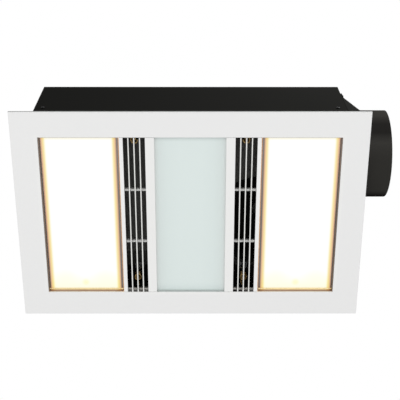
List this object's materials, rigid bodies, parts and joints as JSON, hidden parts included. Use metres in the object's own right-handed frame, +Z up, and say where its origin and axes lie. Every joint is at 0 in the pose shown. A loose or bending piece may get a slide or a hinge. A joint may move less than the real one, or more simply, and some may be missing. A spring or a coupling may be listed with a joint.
{
  "type": "bathroom ceiling heater with light and fan",
  "caption": "Ceiling heater with two lit heat windows, a frosted LED light panel, slotted air grilles, a centrifugal exhaust fan and a round duct spigot with a flap.",
  "frame": {"origin": "centre of the opening cut in the ceiling, in the plane of the ceiling's underside, where the back of the fascia meets it", "axes": "+Z up into the roof space, +X towards the duct spigot, +Y towards the rear edge, the one farther from the camera in the picture"},
  "size_m": [0.6225, 0.3744, 0.2354],
  "materials": {
    "black_steel": "satin black powder coat",
    "galvanised_steel": "dull zinc",
    "bare_steel": "plain steel",
    "rail_steel": "satin",
    "spring_steel": "yellow zinc",
    "reflector_aluminium": "polished",
    "cast_alloy": "as cast",
    "black_plastic": "fine matt grain",
    "grey_plastic": "matt",
    "white_plastic": "matt",
    "white_moulding": "smooth satin white",
    "circuit_board": "white solder mask",
    "ceramic": "unglazed",
    "frosted_glass": "frosted, pale aqua",
    "heat_glass": "frosted, lit warm from behind",
    "quartz_glass": "clear"
  },
  "bodies": {
    "housing": {"housing_shell": "black_steel", "fan_deck": "black_steel", "wall_screw_front_left": "black_steel", "wall_screw_front_right": "black_steel", "wall_screw_rear_left": "black_steel", "wall_screw_rear_right": "black_steel", "inlet_ring": "black_steel", "fan_scroll": "galvanised_steel", "motor_mount_plate": "galvanised_steel", "fan_motor": "cast_alloy", "motor_capacitor": "grey_plastic", "led_driver": "white_plastic", "duct_adaptor": "black_plastic", "damper_frame": "galvanised_steel", "damper_pin": "bare_steel", "adaptor_screw_lower_front": "black_steel", "adaptor_screw_lower_rear": "black_steel", "adaptor_screw_upper_front": "black_steel", "adaptor_screw_upper_rear": "black_steel", "terminal_box": "black_plastic", "terminal_lid": "black_plastic", "terminal_block": "white_plastic", "cable_gland": "black_plastic", "lamp_reflector_left": "reflector_aluminium", "lamp_reflector_right": "reflector_aluminium", "lamp_tube_left": "quartz_glass", "lamp_tube_right": "quartz_glass", "lamp_holder_left_front": "ceramic", "lamp_holder_left_rear": "ceramic", "lamp_holder_right_front": "ceramic", "lamp_holder_right_rear": "ceramic", "led_tray": "galvanised_steel", "led_board": "circuit_board", "spring_bracket_front_left": "galvanised_steel", "spring_bracket_front_right": "galvanised_steel", "spring_bracket_rear_left": "galvanised_steel", "spring_bracket_rear_right": "galvanised_steel", "fascia_spring_front_left": "spring_steel", "fascia_spring_front_right": "spring_steel", "fascia_spring_rear_left": "spring_steel", "fascia_spring_rear_right": "spring_steel"},
    "impeller": {"impeller_wheel": "black_plastic", "impeller_plate": "black_plastic", "impeller_hub": "bare_steel", "motor_shaft": "bare_steel"},
    "damper": {"backdraft_flap": "galvanised_steel"},
    "fascia": {"fascia_frame": "white_moulding", "led_diffuser": "frosted_glass", "grille_left": "white_moulding", "grille_right": "white_moulding", "heat_glass_left": "heat_glass", "heat_glass_right": "heat_glass", "glass_frame_left": "rail_steel", "glass_frame_right": "rail_steel", "fascia_clip_front_left": "black_steel", "fascia_clip_front_right": "black_steel", "fascia_clip_rear_left": "black_steel", "fascia_clip_rear_right": "black_steel"}
  },
  "joints": [
    {"name": "fascia_pull", "type": "slide", "parent": "housing", "child": "fascia", "axis": [0, 0, -1], "range_m": [0, 0.04], "stiffness_N_per_m": 1500, "springref_m": -0.03, "deforming": ["fascia_spring_front_left", "fascia_spring_front_right", "fascia_spring_rear_left", "fascia_spring_rear_right"]},
    {"name": "impeller_spin", "type": "hinge", "parent": "housing", "child": "impeller", "pos_m": [0.121, 0.03975, 0.1], "axis": [0, 0, 1], "continuous": true},
    {"name": "damper_swing", "type": "hinge", "parent": "housing", "child": "damper", "pos_m": [0.2667, -0.0793, 0.1424], "axis": [0, -1, 0], "range_deg": [0, 65]}
  ]
}
